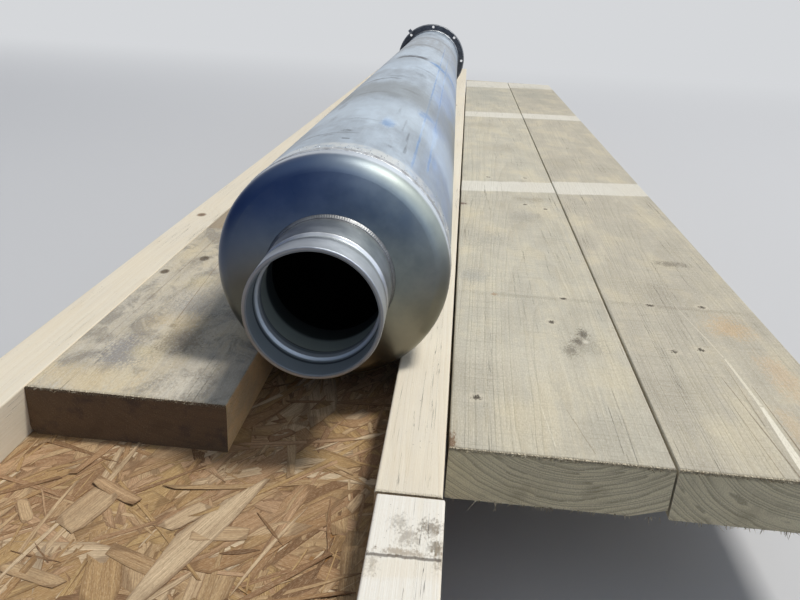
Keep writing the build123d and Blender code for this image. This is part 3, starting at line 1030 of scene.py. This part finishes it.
def weld_run(name, start, stop, root, bulge, pitch, swell, node):
    """One bead spun round the axis: its section runs between two (radius, along) points."""
    bead = bmesh.new()
    cuts, steps_per_ripple = 7, 5
    foot, toe = Vector(start), Vector(stop)
    chord = toe - foot
    outward = Vector((chord.y, -chord.x)).normalized()
    if outward.x < 0:
        outward.negate()
    section = []
    for index in range(cuts + 1):
        share = index / cuts
        point = foot + chord * share + outward * bulge * 4 * share * (1 - share)
        section.append(bead.verts.new((point.x, point.y, 0)))
    section += [bead.verts.new((radius, along, 0)) for radius, along in root]
    loop = [bead.edges.new(pair) for pair in zip(section, section[1:] + section[:1])]
    steps = int(2 * math.pi * start[0] / pitch) * steps_per_ripple
    bmesh.ops.spin(
        bead, geom=section + loop, cent=(0, 0, 0), axis=(0, 1, 0), angle=2 * math.pi, steps=steps,
        use_merge=True)
    bmesh.ops.remove_doubles(bead, verts=bead.verts, dist=0.0005)
    middle = (foot + toe) / 2
    half = chord.length / 2
    for vertex in bead.verts:
        radius = math.hypot(vertex.co.x, vertex.co.z)
        spot = Vector((radius, vertex.co.y))
        offset = (spot - middle).dot(chord.normalized()) / half
        side = (spot - foot).dot(outward)
        if side < -0.01 or abs(offset) > 0.99:
            continue
        angle = math.atan2(vertex.co.x, vertex.co.z)
        arc_length = angle * start[0]
        uneven = noise.noise(Vector((arc_length / 14, offset, start[1])))
        phase = arc_length / pitch + 0.35 * offset * offset + 0.15 * uneven
        lift = swell * (0.5 + 0.5 * math.cos(2 * math.pi * phase))
        lift = lift * (1 - offset ** 2) * (1 + uneven)
        spoke = Vector((math.sin(angle), 0, math.cos(angle)))
        vertex.co += (spoke * outward.x + Vector((0, outward.y, 0))) * (lift - swell * 0.4)
    bmesh.ops.recalc_face_normals(bead, faces=bead.faces)
    bmesh.ops.transform(bead, matrix=Matrix.Scale(0.001, 4), verts=bead.verts)
    piece = finish_piece(name, bead, weld_material, smooth=True)
    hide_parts(node)


seam = sum(corner.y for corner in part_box("head_weld")) / 2 * 1000
weld_run(
    "head_seam_bead",
    (shell_radius + 0.03, seam - 4.5),
    (shell_radius + 0.03, seam + 4.5),
    ((shell_radius - 0.5, seam + 4.0), (shell_radius - 0.5, seam - 4.0)),
    0.45,
    2.6,
    0.14,
    "head_weld",
)
root_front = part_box("port_weld")[0].y * 1000
root_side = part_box("port_weld")[1].x * 1000
weld_run(
    "port_root_bead",
    (44.5, root_front),
    (root_side, root_front + 2.9),
    ((45.5, root_front + 4.4), (44.0, root_front + 3.2)),
    0.10,
    1.7,
    0.12,
    "port_weld",
)
flange_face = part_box("far_flange")[0].y * 1000
weld_run(
    "flange_bead",
    (shell_radius + 0.03, flange_face - 4.0),
    (shell_radius + 4.0, flange_face + 0.05),
    ((shell_radius + 0.5, flange_face + 0.4), (shell_radius - 0.4, flange_face - 1.0)),
    0.45,
    2.4,
    0.25,
    "flange_weld",
)

spatter = bmesh.new()
dice = random.Random(21)
for _ in range(170):
    turn = dice.gauss(0.5, 0.75)
    along = seam + dice.choice((1, 1, 1, -1)) * abs(dice.gauss(0, 9)) + dice.choice((5, -5))
    size = dice.triangular(0.2, 0.8, 0.32)
    if along < seam - 6:
        continue
    spot = Vector((math.sin(turn) * shell_radius, along, math.cos(turn) * shell_radius))
    place = Matrix.Translation(spot) @ Matrix.Rotation(turn, 4, "Y") @ Matrix.Diagonal(
        (size, size * dice.uniform(0.8, 1.6), size * 0.6, 1))
    bmesh.ops.create_icosphere(spatter, subdivisions=1, radius=1.0, matrix=place)
bmesh.ops.transform(spatter, matrix=Matrix.Scale(0.001, 4), verts=spatter.verts)
finish_piece("seam_spatter", spatter, weld_material, smooth=True)

# Far flange and its lug: a drilled ring painted black, with the paint scuffed to grey on its
# edges, welded round the open end of the shell.
ring_paint = Finish("flange_paint")
ring_place = ring_paint.millimetres()
ring_cloud = ring_paint.noise(ring_place, (18, 18, 18), 4.0, 0.65)
ring_grit = ring_paint.noise(ring_place, (2.2, 2.2, 2.2), 4.0, 0.7)
rim = ring_paint.around(ring_place)[3]
chafe = rim.step(100.6, 102.0) * ring_grit.step(0.35, 0.6) + ring_grit.step(0.66, 0.74) * 0.7
ring_colour = ring_paint.mix(ring_cloud.step(0.3, 0.7), (46, 49, 54), (76, 79, 84))
black_paint = ring_paint.coat({
    "Base Color": ring_paint.mix(chafe * 0.7, ring_colour, (150, 152, 154)),
    "Metallic": chafe * 0.6,
    "Roughness": 0.46 + ring_cloud * 0.2,
    "Normal": ring_paint.bump(ring_grit * 0.12 - chafe * 0.08, 0.6),
})
for node in ("far_flange", "flange_lug"):
    dress(node, black_paint)

# Studio: a pale floor that runs up into a backdrop and fades out far behind the part, one
# soft key light from the upper right, and a sky with two brighter windows that the metal
# mirrors. The camera stands low in front of the port, where the photograph was taken.
floor_level = cad_box[0][2]
studio = Finish("pale_studio")
rays = [studio.node("ShaderNodeLightPath", result=f"Is {kind} Ray") for kind in (
    "Camera", "Glossy", "Transmission")]
seen = rays[0].most(rays[1].most(rays[2]))
away = studio.split(studio.node("ShaderNodeTexCoord", result="Object"))[1].step(1.4, 4.6)
pale = studio.node("ShaderNodeBsdfPrincipled", {}, {
    "Base Color": tone(196, 197, 199), "Roughness": 0.9, "Specular IOR Level": 0.1})
glow = studio.node("ShaderNodeEmission", {}, {"Color": tone(212, 214, 217), "Strength": 1.0})
studio.end(studio.node("ShaderNodeMixShader", {}, {0: seen * away, 1: pale, 2: glow}))
half_width, front_edge, floor_rear, bend, top_edge, turns = 9, -9, 6.4, 2, 6, 8
sweep = bmesh.new()
outline = [(front_edge, 0), (2.6, 0), (floor_rear, 0)]
for index in range(1, turns + 1):
    turn = index / turns * math.pi / 2
    outline.append((floor_rear + bend * math.sin(turn), bend - bend * math.cos(turn)))
outline.append((floor_rear + bend, top_edge))
edge = [sweep.verts.new((-half_width, along, rise)) for along, rise in outline]
run = [sweep.edges.new(pair) for pair in zip(edge, edge[1:])]
wide = bmesh.ops.extrude_edge_only(sweep, edges=run)["geom"]
wide = [part for part in wide if isinstance(part, bmesh.types.BMVert)]
bmesh.ops.translate(sweep, vec=(2 * half_width, 0, 0), verts=wide)
bmesh.ops.translate(sweep, vec=(0, 0, floor_level), verts=sweep.verts)
bmesh.ops.recalc_face_normals(sweep, faces=sweep.faces)
studio_sweep = add_shape("studio_sweep", sweep, studio.material)

sky = Finish("soft_sky", "worlds")
bpy.context.scene.world = sky.material
toward = sky.split(sky.node("ShaderNodeTexCoord", result="Generated"))
lit_side = toward[0] * 0.30 + toward[1] * 0.20 + toward[2] * 0.90
window = (toward[0] * 0.68 + toward[1] * 0.54 + toward[2] * 0.49).step(0.70, 0.99)
gate = (toward[0] * 0.56 - toward[1] * 0.70 + toward[2] * 0.45).step(0.74, 0.99)
front = (toward[1] * -1.0 + toward[0] * 0.2).step(0.1, 1.0)
sky_colour = sky.mix(lit_side.step(-0.1, 0.85), (78, 102, 148), (236, 244, 255))
mirrored = sky.node("ShaderNodeLightPath", result="Is Glossy Ray")
seen = sky.node("ShaderNodeLightPath", result="Is Camera Ray")
strength = 0.36 + mirrored * 0.6 + window * (0.3 + mirrored * 1.0) + gate * mirrored * 2.4
strength = strength + front * (1 - mirrored) * 0.34 + seen * 0.6
dome = sky.node("ShaderNodeBackground", {}, {"Color": sky_colour, "Strength": strength})
sky.end(dome, "ShaderNodeOutputWorld")

key_spot, key_aim = Vector((3.05, 0.95, 7.1)), Vector((0.05, 0.4, 0))
lamp = bpy.data.lights.new("key_light", "AREA")
lamp.shape = "RECTANGLE"
lamp.size, lamp.size_y = 0.9, 1.7
lamp.energy = 505
lamp.color = (1.0, 0.97, 0.92)
key_light = add_object("key_light", lamp)
key_light.location = key_spot
key_light.rotation_euler = (key_aim - key_spot).to_track_quat("-Z", "Y").to_euler()

focal_pixels, frame_pixels, sensor_width = 733.616, 800, 36.0
camera_spot = (0.074861, -0.409011, 0.185426)
camera_data = bpy.data.cameras.new("photo_camera")
camera_data.sensor_width = sensor_width
camera_data.lens = focal_pixels / frame_pixels * sensor_width
camera_data.clip_end = 60.0
pitch, yaw, roll = 0.39404, -0.05202, 0.05955
level = Vector((math.cos(yaw), -math.sin(yaw), 0))
ahead = Vector((math.sin(yaw), math.cos(yaw), 0))
forward = ahead * math.cos(pitch) - Vector((0, 0, math.sin(pitch)))
upright = level.cross(forward)
right = level * math.cos(roll) + upright * math.sin(roll)
top = upright * math.cos(roll) - level * math.sin(roll)
photo_camera = add_object("photo_camera", camera_data)
stance = Matrix((right, top, -forward)).transposed().to_4x4()
photo_camera.matrix_world = Matrix.Translation(camera_spot) @ stance
bpy.context.scene.camera = photo_camera
bpy.context.scene.view_settings.view_transform = "Standard"
